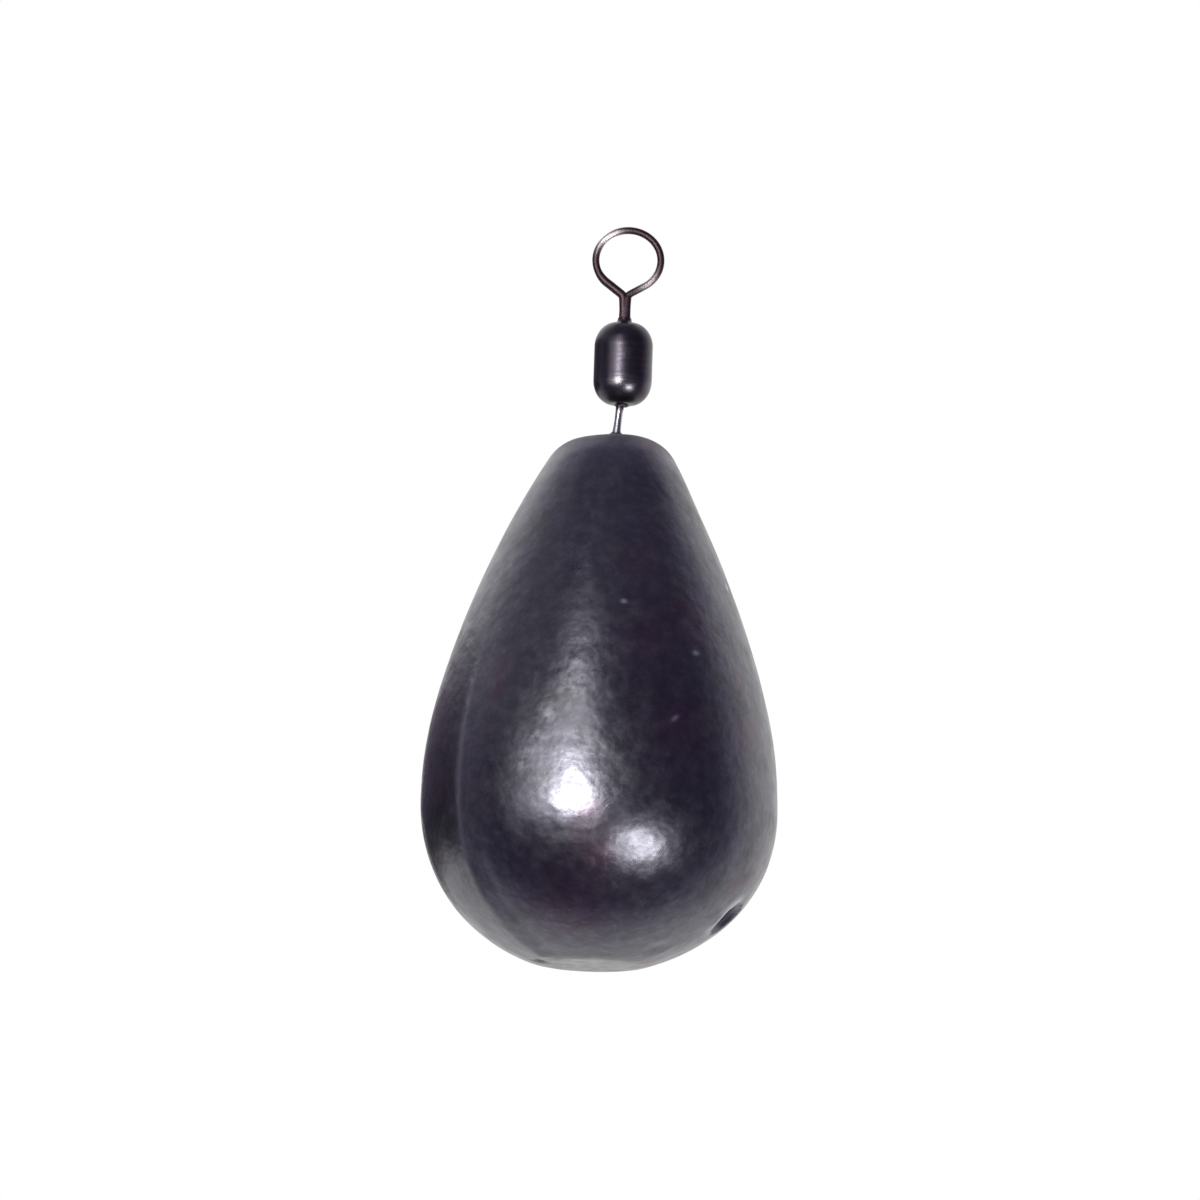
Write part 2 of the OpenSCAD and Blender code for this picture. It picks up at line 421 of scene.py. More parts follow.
# Reaches on the casting: the swelling to the left and right of the parting line, which drifts,
# where the front and the right side begin, the rims of the pits, which wander, and the chips
SEAM_DRIFT = 0.35 * MM
SWELL_LEFT, SWELL_RIGHT = -2.3 * MM, 1.5 * MM
FRONT_SIDE = (-1.0 * MM, 1.0 * MM)
RIGHT_SIDE = (-1.6 * MM, 1.8 * MM)
RIM_WANDER = 0.3 * MM
RIM_OFFSET = 0.22 * MM
RIM_WIDTH = 0.30 * MM
LIP_REACH = 1.3 * MM
CHIP_DEPTH = 0.05 * MM

# Mesh of the casting: columns round it, gaps between rows, and rows of the flat and its edge
COLUMNS = 384
ROW_GAP = 0.185 * MM
FINE_GAP = 0.12 * MM
FLAT_ROWS = (0, 0.12, 0.24, 0.36, 0.48, 0.6, 0.7, 0.8, 0.88, 0.95)
EDGE_ROWS = 12

# Heights between which a form comes in or fades out
SEAM_TOP = (15.0 * MM, 21.0 * MM)
SWELL_TOP = (4.0 * MM, 8.0 * MM)
CROWN_RISE = (27.5 * MM, 31.0 * MM)
CUT_EDGE = (0.0, 0.25 * MM)

# Sizes of the casting that the surface tree takes as they are
RELIEF = (
    "Waviness", "Crown Lift", "Seam Height", "Seam Swell", "Pit Radius", "Pit Depth", "Pit Lip",
    "Dimple Radius", "Dimple Depth", "Dimple Lip", "Foot Rise", "Foot Reach", "Nick Depth",
    "Nick Reach")


def arc_pair(inward, climb, first, second):
    """Radii of two arcs tangent to each other, from level to one angle and on to another."""
    p, q = 1 - math.cos(first), math.cos(first) - math.cos(second)
    s, t = math.sin(first), math.sin(second) - math.sin(first)
    d = p * t - q * s
    return (inward * t - q * climb) / d, (p * climb - s * inward) / d


def casting_arcs(sizes):
    """The outline from the base up: centre, radius, first and last angle of each arc."""
    nose = Vector((sizes.crown_flat - NOSE_INSET, sizes.body_height - sizes.nose_round))
    belly, flank = arc_pair(
        sizes.belly_radius - nose.x - sizes.nose_round * math.cos(FLANK_ANGLE),
        nose.y + sizes.nose_round * math.sin(FLANK_ANGLE) - sizes.belly_height,
        BELLY_ANGLE, FLANK_ANGLE)
    heel, base = arc_pair(
        sizes.belly_radius - sizes.base_flat, sizes.belly_height, HEEL_ANGLE, BASE_ANGLE)
    heel_centre = Vector((sizes.belly_radius - heel, sizes.belly_height))
    way = Vector((math.cos(HEEL_ANGLE), -math.sin(HEEL_ANGLE)))
    base_centre = heel_centre + (heel - base) * way
    belly_centre = Vector((sizes.belly_radius - belly, sizes.belly_height))
    way = Vector((math.cos(BELLY_ANGLE), math.sin(BELLY_ANGLE)))
    flank_centre = belly_centre + (belly - flank) * way
    crown = (nose.x + sizes.nose_round * math.cos(sizes.crown_edge)) / math.cos(sizes.crown_edge)
    crown_centre = Vector((0.0, nose.y + (sizes.nose_round - crown) * math.sin(sizes.crown_edge)))
    return {
        "base": (base_centre, base, -BASE_ANGLE, -HEEL_ANGLE),
        "heel": (heel_centre, heel, -HEEL_ANGLE, 0.0),
        "belly": (belly_centre, belly, 0.0, BELLY_ANGLE),
        "flank": (flank_centre, flank, BELLY_ANGLE, FLANK_ANGLE),
        "nose": (nose, sizes.nose_round, FLANK_ANGLE, sizes.crown_edge),
        "crown": (crown_centre, crown, sizes.crown_edge, math.pi / 2),
    }


def sideways(sizes, height):
    """How far the casting stands off its axis at a height: foot left, heel and nose right."""
    heel, nose, fade = 6.4 * MM, 26.0 * MM, 4 * MM
    if height < heel:
        return sizes.heel_shift - (sizes.foot_shift + sizes.heel_shift) * (1 - height / heel) ** 2
    shift = sizes.heel_shift * math.exp(-((height - heel) / fade) ** 2)
    if height > nose:
        shift += sizes.nose_shift * ((height - nose) / (sizes.body_height - nose)) ** 2
    return shift


def outline_rows(sizes):
    """Points of the outline from pole to pole, closer together where the form is fine."""
    rows = []
    arcs = casting_arcs(sizes)
    for name, (centre, radius, first, last) in arcs.items():
        gap = min(FINE_GAP if name == "crown" else ROW_GAP, radius * 0.05)
        steps = max(2, round(radius * (last - first) / gap))
        for i in range(steps):
            turn = first + (last - first) * i / steps
            rows.append((centre.x + radius * math.cos(turn), centre.y + radius * math.sin(turn)))

    # The edge of the flat is worn round
    edge, worn = Vector(rows[0]), sizes.base_edge
    rows = [row for row in rows if (Vector(row) - edge).length > worn]
    inner, outer = Vector((edge.x - worn, 0.0)), Vector(rows[0])
    rounded = [
        tuple(inner.lerp(edge, t).lerp(edge.lerp(outer, t), t))
        for t in (i / EDGE_ROWS for i in range(EDGE_ROWS))]
    rows = [(inner.x * share, 0.0) for share in FLAT_ROWS] + rounded + rows
    crown_centre, crown = arcs["crown"][:2]
    rows.append((0.0, crown_centre.y + crown))
    return [(r, sideways(sizes, z), z) for r, z in rows]


def place_on(arc, turn, drop):
    """The point of the casting at a turn from the front and an angle below level."""
    centre, radius = arc[0], arc[1]
    reach = centre.x + radius * math.cos(drop)
    height = centre.y - radius * math.sin(drop)
    return Vector((reach * math.sin(turn), -reach * math.cos(turn), height))


def casting_tree():
    """Turns an outline about the axis and works the casting's relief into it."""
    tree = bpy.data.node_groups.new("casting_surface", "GeometryNodeTree")
    work = NodeWork(tree)
    given = group_inputs(work, {
        "Int": ["Columns"],
        "Float": RELIEF,
        "Vector": [
            "Seam Side", "Pit Place", "Lip Place", "Dimple Place", "Wire Place", "Nick Place"],
        "Material": ["Material"],
    })
    outline = given["Geometry"]
    rows = work.add(
        "GeometryNodeAttributeDomainSize", {"component": "CURVE"}, [outline], "Point Count")
    grid = work.add("GeometryNodeMeshGrid", {}, [1.0, 1.0, given["Columns"] + 1, rows])
    flat = work.axes(work.add("GeometryNodeInputPosition"))
    row = ((flat.out("Y") + 0.5) * (rows - 1.0)).rounded()
    place = work.add(
        "GeometryNodeSampleIndex", {"data_type": "FLOAT_VECTOR", "domain": "POINT"},
        {"Geometry": outline, "Value": work.add("GeometryNodeInputPosition"), "Index": row})
    point = work.axes(place)
    turn = (flat.out("X") + 0.5) * math.tau
    reach = point.out("X")
    turned = work.add("ShaderNodeCombineXYZ", {}, [
        reach * turn.cosine() + point.out("Y"), reach * turn.sine(), point.out("Z")])
    shell = work.add("GeometryNodeSetPosition", {}, {"Geometry": grid, "Position": turned})
    shell = work.add("GeometryNodeMergeByDistance", {}, {"Geometry": shell, "Distance": DOUBLES})

    spot = work.add("GeometryNodeInputPosition")
    spot_mm = work.scaled(spot, 1 / MM)
    axes = work.axes(spot)
    height = axes.out("Z")

    def noise(scale, detail=2.0, roughness=0.5, shift=(0.0, 0.0, 0.0)):
        """A noise about 0, read at a shift so that it lines up with no other."""
        return work.noise(work.vector("ADD", spot_mm, shift), scale, detail, roughness) - 0.5

    # The slow waviness of the whole casting
    slow = noise(0.20, 1.0)
    middle = noise(0.62, 2.0, 0.55, (31.0, 7.0, 19.0))
    relief = given["Waviness"] * (1.6 * slow + 0.42 * middle)

    # The parting line: a low, worn ridge in one plane through the axis, and low down a broad
    # swelling where the two halves of the mould stood a little apart
    aside = work.along(spot, given["Seam Side"])
    worn = 0.8 + 1.6 * noise(0.5, shift=(5.0, 50.0, 3.0))
    worn = worn * (1.0 - height.step(*SEAM_TOP))
    relief = relief + given["Seam Height"] * worn * aside.bell(SEAM_REACH)
    drift = aside + noise(0.8) * SEAM_DRIFT
    low = 1.0 - height.step(*SWELL_TOP)
    front = 1.0 - axes.out("Y").step(*FRONT_SIDE)
    swell = drift.step(SWELL_LEFT, 0.0) ** 1.5 * (1.0 - drift.step(0.0, SWELL_RIGHT))
    relief = relief + given["Seam Swell"] * low * front * swell

    # The crown stands a little higher on its right side
    right = axes.out("X").step(*RIGHT_SIDE)
    relief = relief + given["Crown Lift"] * height.step(*CROWN_RISE) * right

    # The large pit: steep inside, with the lead stood up a little on its front side
    wander = noise(1.3) * RIM_WANDER
    off_pit = work.distance(spot, given["Pit Place"]) + wander
    share = (off_pit / given["Pit Radius"]).least(1.0)
    relief = relief - given["Pit Depth"] * (1.0 - share * share) ** 0.8
    rim = (off_pit - given["Pit Radius"] - RIM_OFFSET).bell(RIM_WIDTH)
    lip = work.distance(spot, given["Lip Place"]).bell(LIP_REACH)
    relief = relief + given["Pit Lip"] * rim * lip

    # The small pit
    off_dimple = work.distance(spot, given["Dimple Place"]) + wander
    share = (off_dimple / given["Dimple Radius"]).least(1.0)
    bowl = 1.0 - share * share
    relief = relief - given["Dimple Depth"] * bowl * bowl
    rim = (off_dimple - given["Dimple Radius"]).bell(RIM_WIDTH)
    relief = relief + given["Dimple Lip"] * rim

    # Lead drawn up a little where it meets the wire
    foot = work.distance(spot, given["Wire Place"])
    relief = relief + given["Foot Rise"] * foot.bell(given["Foot Reach"])

    # The base stays level, as it was cut, but for small chips and one nick at its edge
    above = height.step(*CUT_EDGE)
    chips = noise(1.5, 3.0, shift=(9.0, 2.0, 4.0)) * CHIP_DEPTH
    relief = relief * above + chips.least(0.0) * (1.0 - above)
    nick = work.distance(spot, given["Nick Place"]) + wander * 0.6
    relief = relief - given["Nick Depth"] * nick.bell(given["Nick Reach"])

    offset = work.scaled(work.add("GeometryNodeInputNormal"), relief)
    shell = work.add("GeometryNodeSetPosition", {}, {"Geometry": shell, "Offset": offset})
    group_output(work, shell, given["Material"])
    return tree


class SINKER_OT_casting(bpy.types.Operator):
    """Builds the cast lead body over its frame node"""

    bl_idname = "sinker.casting"
    bl_label = "Cast lead body"

    def execute(self, context):
        sizes = context.scene.sinker_casting
        material = lead_material(context)
        arcs = casting_arcs(sizes)
        values = {
            "Columns": COLUMNS,
            "Seam Side": SEAM_SIDE,
            "Pit Place": place_on(arcs["heel"], PIT_TURN, PIT_DROP),
            "Lip Place": place_on(arcs["heel"], LIP_TURN, LIP_DROP),
            "Dimple Place": place_on(arcs["base"], DIMPLE_TURN, DIMPLE_DROP),
            "Wire Place": Vector((STEM_FOOT, 0.0, sizes.body_height)),
            "Nick Place": NICK_PLACE,
            "Material": material,
        }
        for name in RELIEF:
            values[name] = getattr(sizes, name.lower().replace(" ", "_"))
        outline = path_object("casting_outline", outline_rows(sizes))
        mesh = tree_mesh(outline, casting_tree(), values)
        if len(mesh.polygons) < COLUMNS:
            raise RuntimeError("the casting has no surface")
        merge_doubles(mesh)
        piece = finished_piece("lead_casting", mesh, material)
        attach(piece, "sinker")
        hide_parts("lead_body")
        return {"FINISHED"}


# The swivel

# The axis that the barrel and the upper eye spin on
SWIVEL_SIDE = (BARREL_LOW.x + BARREL_HIGH.x) / 2

# The wire eyes and the inside of the barrel
CONE_ANGLE = math.radians(60)
LEG_ANGLE = math.radians(34)
STEM_LEAN = math.radians(5.5)
STEM_SIDE = 0.10 * MM
JOURNAL_SHOW = 0.08 * MM
JOURNAL_PLAY = 0.05 * MM
END_PLAY = 0.08 * MM
SEAT_DEPTH = 0.36 * MM
HEAD_RIM = 0.35 * MM
HEAD_DOME = 0.22 * MM
SHOULDER_ROUND = 1.0 * MM
CONE_DROP = 0.70 * MM
DRAWN_ANGLE = math.radians(80)

# The barrel's lip: its thin wall, and its rounded top out from the mouth and up from its height
LIP_WALL = 0.035 * MM
LIP_ROUND = ((0.018 * MM, 0.012 * MM), (0.0, -0.01 * MM))

# The ring: where it opens into its legs, and how far and from where its left leg was squeezed
RING_GAP = LEG_ANGLE * 1.02
SQUEEZE = 0.22
SQUEEZE_START = math.radians(195)
SQUEEZE_SPAN = math.radians(35)

# Of the wire eyes in mm: the gap in the frame over the ring, how far the legs stand in, and where
# the pressed neck starts and how far it laps over the bend
RING_DROP = 0.04
LEG_INSET = 0.01
NECK_START = 0.02
NECK_LAP = 0.12

# The neck as the press left it: its swell at both ends, and a squarish oval for a section
NECK_SWELL = 0.10
NECK_SQUARE = 0.85

# Meshes of the swivel: a radius that counts as none, rows, sides and steps, the wire's spacing in
# mm, and the rounds that flow its inner corners
ON_AXIS = 1e-9
DRAWN_ROWS = 26
LIP_ROWS = 12
SHOULDER_STEPS = 12
BARREL_SIDES = 128
HEAD_SIDES = 64
NECK_SIDES = 40
NECK_ROWS = 24
WIRE_SIDES = 28
WIRE_SPACING = 0.04
RING_STEPS = 96
LEG_STEPS = 10
DOME_STEPS = 8
FLOW_ROUNDS = 16


def arc_points(centre, radius, first, last, steps):
    """Points along an arc of a profile, without its last."""
    turns = (first + (last - first) * i / steps for i in range(steps))
    return [(centre[0] + radius * math.cos(t), centre[1] + radius * math.sin(t)) for t in turns]


def clamped(value):
    """A number kept between 0 and 1."""
    return max(0.0, min(1.0, value))


def stitch(work, low, high):
    """Faces between two rings of a bmesh. A ring may be one point over and over."""
    for i in range(len(low)):
        j = (i + 1) % len(low)
        corners = []
        for corner in (low[i], low[j], high[j], high[i]):
            if corner not in corners:
                corners.append(corner)
        if len(corners) > 2:
            work.faces.new(corners)


def lathe(profile, sides, axis_x=0.0, closed=True):
    """A mesh turned about an upright axis from points of (radius, height).

    The points are a closed loop, or an open line that may start and end on the axis.
    """
    work = bmesh.new()
    rings = []
    for reach, height in profile:
        if reach < ON_AXIS:
            rings.append([work.verts.new((axis_x, 0.0, height))] * sides)
            continue
        rings.append([
            work.verts.new((
                axis_x + reach * math.cos(math.tau * i / sides),
                reach * math.sin(math.tau * i / sides), height))
            for i in range(sides)])
    for low, high in zip(rings, rings[1:] + (rings[:1] if closed else [])):
        stitch(work, low, high)
    bmesh.ops.recalc_face_normals(work, faces=work.faces)
    return mesh_of(work, "lathe")


def barrel_half(sizes, lip_rise):
    """Half of the barrel's wall, from its middle up over the closed-in end and back inside."""
    half = (BARREL_HIGH.z - BARREL_LOW.z) / 2
    mouth = sizes.journal_radius + JOURNAL_PLAY
    start = half - sizes.end_drop
    outside = [(sizes.barrel_radius, start * share) for share in (0.0, 0.25, 0.5, 0.75)]

    # The end is drawn in along a quarter of an oval, then up into a thin lip
    for i in range(DRAWN_ROWS + 1):
        t = DRAWN_ANGLE * i / DRAWN_ROWS
        outside.append((
            sizes.barrel_radius - sizes.end_draw * (1 - math.cos(t)),
            start + sizes.end_drop * math.sin(t)))
    low_reach, low = outside[-1]
    top_reach, top = mouth + LIP_WALL, half + lip_rise
    for i in range(1, LIP_ROWS + 1):
        t = math.pi / 2 * i / LIP_ROWS
        outside.append((
            low_reach - (low_reach - top_reach) * math.sin(t) ** 0.8,
            low + (top - low) * (1 - math.cos(t)) ** 1.2))
    outside += [(mouth + out, top + up) for out, up in LIP_ROUND]

    # Inside, a straight mouth opens into a cone that the head bears on
    inner = SHOULDER_ROUND - sizes.barrel_wall
    shoulder = sizes.barrel_radius - SHOULDER_ROUND
    cone = half - CONE_DROP
    inner_reach = shoulder + inner * math.cos(CONE_ANGLE)
    inside = [(mouth, cone + (inner_reach - mouth) / math.tan(CONE_ANGLE))]
    turn_height = cone - inner * math.sin(CONE_ANGLE)
    shoulder_arc = arc_points((shoulder, turn_height), inner, 0.0, CONE_ANGLE, SHOULDER_STEPS)
    inside += reversed(shoulder_arc)
    return outside + inside


def barrel_profile(sizes):
    """The barrel's wall as a closed loop, and the height of its middle."""
    upper = barrel_half(sizes, sizes.lip_rise)
    lower = [(x, -z) for x, z in reversed(barrel_half(sizes, sizes.lip_fall))]
    return upper + lower[:-1], (BARREL_HIGH.z + BARREL_LOW.z) / 2


class SINKER_OT_barrel(bpy.types.Operator):
    """Builds the closed-in barrel of the swivel over its frame node"""

    bl_idname = "sinker.barrel"
    bl_label = "Swivel barrel"

    def execute(self, context):
        sizes = context.scene.sinker_swivel
        profile, middle = barrel_profile(sizes)
        mesh = lathe([(x, z + middle) for x, z in profile], BARREL_SIDES, SWIVEL_SIDE)
        merge_doubles(mesh)
        piece = finished_piece("barrel_shell", mesh, barrel_material(context))
        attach(piece, "barrel")
        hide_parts("swivel_barrel")
        return {"FINISHED"}


def wire_path(sizes, neck, ring_height):
    """The bent wire's centre line in mm, up one leg, round the ring and down the other.

    The last number of each point is the wire's thickness there: the left leg was squeezed wider.
    """
    wire = sizes.wire_radius / MM
    width, rise = sizes.ring_width / MM, sizes.ring_rise / MM
    bend, side = sizes.leg_bend / MM, sizes.ring_side / MM
    foot = sizes.neck_width / MM / 2 - wire - LEG_INSET
    leg = [(foot, 0.0), (foot, neck * 0.5)]
    turned = math.pi / 2 - LEG_ANGLE
    leg += [
        (foot + bend * (1 - math.cos(t)), neck + bend * math.sin(t))
        for t in (turned * i / LEG_STEPS for i in range(LEG_STEPS + 1))]
    points = [(x, 0.0, z, 1.0) for x, z in leg]
    for i in range(RING_STEPS + 1):
        t = RING_GAP - math.pi / 2 + (math.tau - 2 * RING_GAP) * i / RING_STEPS
        share = clamped((t - SQUEEZE_START) / SQUEEZE_SPAN)
        points.append((
            side + width * math.cos(t), 0.0, ring_height + rise * math.sin(t),
            1.0 + SQUEEZE * share * share * (3 - 2 * share)))
    for x, z in reversed(leg):
        share = clamped((z - neck * 0.9) / (0.4 * bend))
        points.append((-x, 0.0, z, 1.0 + SQUEEZE * share))
    return points


def wire_tree():
    """A round wire along a path, closed at its ends."""
    tree = bpy.data.node_groups.new("bent_wire", "GeometryNodeTree")
    work = NodeWork(tree)
    given = group_inputs(work, {
        "Float": ["Wire Radius", "Spacing"], "Int": ["Sides"], "Material": ["Material"]})
    section = work.add(
        "GeometryNodeCurvePrimitiveCircle", {"mode": "RADIUS"},
        {"Resolution": given["Sides"], "Radius": given["Wire Radius"]})
    even = work.add(
        "GeometryNodeResampleCurve", {"mode": "LENGTH"},
        {"Curve": given["Geometry"], "Length": given["Spacing"]})
    tube = work.add("GeometryNodeCurveToMesh", {}, {
        "Curve": even, "Profile Curve": section, "Fill Caps": True,
        "Scale": work.add("GeometryNodeInputRadius")})
    group_output(work, tube, given["Material"])
    return tree


def neck_mesh(sizes, low, high):
    """The pressed neck in mm: an oval bar that swells a little at both ends."""
    work = bmesh.new()
    rings = []
    for i in range(NECK_ROWS + 1):
        share = i / NECK_ROWS
        swell = 1 + NECK_SWELL * (2 * share - 1) ** 2
        half_width = sizes.neck_width / MM / 2 * swell
        half_depth = sizes.neck_depth / MM / 2 * swell
        height = low + (high - low) * share
        ring = []
        for k in range(NECK_SIDES):
            t = math.tau * k / NECK_SIDES
            c, s = math.cos(t), math.sin(t)
            ring.append(work.verts.new((
                half_width * math.copysign(abs(c) ** NECK_SQUARE, c),
                half_depth * math.copysign(abs(s) ** NECK_SQUARE, s), height)))
        rings.append(ring)
    for low_ring, high_ring in zip(rings, rings[1:]):
        stitch(work, low_ring, high_ring)
    work.faces.new(list(reversed(rings[0])))
    work.faces.new(rings[-1])
    return mesh_of(work, "neck")


def head_profile(sizes):
    """Journal and upset head in mm, from the axis round to the axis, above the mouth at 0."""
    journal, head = sizes.journal_radius / MM, sizes.head_radius / MM
    show, dome = JOURNAL_SHOW / MM, HEAD_DOME / MM
    seat = -(SEAT_DEPTH + END_PLAY) / MM
    side = seat - (head - journal) / math.tan(CONE_ANGLE)
    end = side - HEAD_RIM / MM
    ball = (head * head + dome * dome) / (2 * dome)
    reach = math.asin(head / ball)
    domed = [
        (ball * math.sin(t), end - dome + ball - ball * math.cos(t))
        for t in (reach * (1 - i / DOME_STEPS) for i in range(DOME_STEPS + 1))]
    return [(0.0, show), (journal, show), (journal, seat), (head, side)] + domed


def joined_mesh(meshes, name):
    """Several meshes as one, with nothing merged."""
    work = bmesh.new()
    for mesh in meshes:
        work.from_mesh(mesh)
    return mesh_of(work, name)


def flowed(mesh, voxel, rounds):
    """One closed skin over overlapping forms, with its inner corners flowed together."""
    holder = linked("flow", mesh)
    skin = holder.modifiers.new("skin", "REMESH")
    skin.mode = "VOXEL"
    skin.voxel_size = voxel
    soft = holder.modifiers.new("soft", "SMOOTH")
    soft.factor = 0.5
    soft.iterations = rounds
    result = evaluated(holder)
    bpy.data.objects.remove(holder)
    return result


def eye_mesh(sizes, material, neck, ring_height, lean, side):
    """A whole wire eye in mm, standing on the mouth at 0."""
    path = path_object("eye_path", wire_path(sizes, neck, ring_height))
    values = {
        "Wire Radius": sizes.wire_radius / MM, "Sides": WIRE_SIDES, "Spacing": WIRE_SPACING,
        "Material": material}
    tube = tree_mesh(path, wire_tree(), values)
    press = neck_mesh(sizes, NECK_START, neck + NECK_LAP)

    # The neck and the ring lean about the journal's end
    pivot = Vector((0, 0, JOURNAL_SHOW / MM))
    turn = Matrix.Translation(pivot) @ Matrix.Rotation(lean, 4, "X")
    turn = turn @ Matrix.Translation(Vector((0, -side / MM, 0)) - pivot)
    for part in (tube, press):
        part.transform(turn)
    head = lathe(head_profile(sizes), HEAD_SIDES, closed=False)
    whole = joined_mesh([tube, press, head], "eye")
    return flowed(whole, sizes.voxel / MM, FLOW_ROUNDS)


class SINKER_OT_eyes(bpy.types.Operator):
    """Builds both wire eyes of the swivel over their frame nodes"""

    bl_idname = "sinker.eyes"
    bl_label = "Wire eyes"

    def execute(self, context):
        sizes = context.scene.sinker_swivel
        material = wire_material(context)
        neck, stem = sizes.neck_length / MM, sizes.stem_length / MM
        reach = RING_HIGH.z - BARREL_HIGH.z
        ring_height = (reach - sizes.wire_radius - sizes.ring_rise) / MM - RING_DROP
        upper = eye_mesh(sizes, material, neck, ring_height, 0.0, 0.0)
        stand = Matrix.Translation((SWIVEL_SIDE, 0, BARREL_HIGH.z))
        upper.transform(stand @ Matrix.Scale(MM, 4))
        lower = eye_mesh(sizes, material, stem, ring_height + stem - neck, STEM_LEAN, STEM_SIDE)
        hang = Matrix.Rotation(math.pi / 2, 4, "Z") @ Matrix.Rotation(math.pi, 4, "X")
        stand = Matrix.Translation((SWIVEL_SIDE, 0, BARREL_LOW.z))
        lower.transform(stand @ hang @ Matrix.Scale(MM, 4))
        for mesh, name, body, node in (
                (upper, "line_eye", "line_ring", "upper_eye"),
                (lower, "cast_in_eye", "sinker", "lower_eye")):
            face_outwards(mesh)
            piece = finished_piece(name, mesh, material)
            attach(piece, body)
            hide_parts(node)
        return {"FINISHED"}


# Finishes

# Purple places on the lead in mm, each with its reach; the last, on the left edge, is a painted
# pinkish reflection
PURPLE = (
    ((-1.3, -8.2, 3.0), 2.6), ((2.5, -8.9, 19.3), 1.7), ((4.7, -9.5, 13.7), 1.9),
    ((-10.3, -2.0, 15.0), 2.8))

# Small bright scars in mm: each a point, the way that it runs, its half length and half width
SCARS = (
    ((1.13, -8.45, 21.34), (1.0, 0.0, 0.0), 0.20, 0.15),
    ((4.47, -9.59, 14.08), (0.80, 0.0, 0.60), 0.62, 0.14),
    ((5.63, -7.67, 18.41), (0.95, 0.0, 0.30), 0.42, 0.15),
    ((7.43, -2.26, 23.32), (0.3, 0.0, 0.95), 0.5, 0.16))

# Painted highlight in mm: the pale, mottled halo round the left lamps' highlight up the front of
# the belly, each place with its reach and strength
PAINTED_HALO = (
    ((-4.75, -9.85, 11.0), 0.45, 0.8), ((-4.35, -9.98, 11.8), 0.45, 0.9),
    ((-3.95, -10.05, 12.7), 0.45, 0.7), ((-3.31, -10.11, 13.9), 0.60, 1.0),
    ((-1.92, -9.98, 16.3), 1.25, 0.7), ((-0.6, -9.6, 18.2), 1.3, 0.4))

# Tones of small places on the lead, the barrel and the wire
FRESH_SCAR = (0.85, 0.83, 0.88)
FRESH_SEAM = (0.5, 0.48, 0.54)
LIP_HIGHLIGHT = (0.62, 0.61, 0.66)
CUT_BASE = (0.045, 0.045, 0.048)
# Painted highlight: the pale tone of the halo round the lamps' highlight
HALO_TONE = (0.32, 0.32, 0.34)
# Painted shade: the dark tone inside the large pit
PIT_SHADE = (0.022, 0.019, 0.026)
BARREL_CLOUD = (0.066, 0.049, 0.058)
BARREL_LINES = (0.11, 0.10, 0.12)
# Painted highlight: the bright tone of the band on the barrel's lower shoulder
BARREL_HIGHLIGHT = (0.17, 0.165, 0.175)
WIRE_CLOUD = (0.050, 0.034, 0.038)

# Worn places of the ring, also painted bright where its highlights fall, in mm from the middle of
# its top: each with its reach and strength
WORN_GLINTS = (((-1.30, 0.0, -0.70), 0.75, 1.0), ((1.35, 0.0, -3.35), 0.60, 0.55))


def new_material(name):
    """A material with its shader, ready for links."""
    material = bpy.data.materials.new(name)
    material.use_nodes = True
    material.node_tree.nodes.clear()
    return material, NodeWork(material.node_tree)


def metal_shader(work, tone, rough, relief, depth):
    """A metal's shader into the material's output, with a fine relief on its surface."""
    bump = work.add("ShaderNodeBump", {}, {"Strength": 1.0, "Distance": depth, "Height": relief})
    shader = work.add("ShaderNodeBsdfPrincipled", {}, {
        "Base Color": tone, "Metallic": 1.0, "Roughness": rough, "Normal": bump})
    work.add("ShaderNodeOutputMaterial", {}, {"Surface": shader})


def surface_mm(work):
    """Object coordinates in millimetres."""
    return work.scaled(work.add("ShaderNodeTexCoord", {}, [], "Object"), 1 / MM)


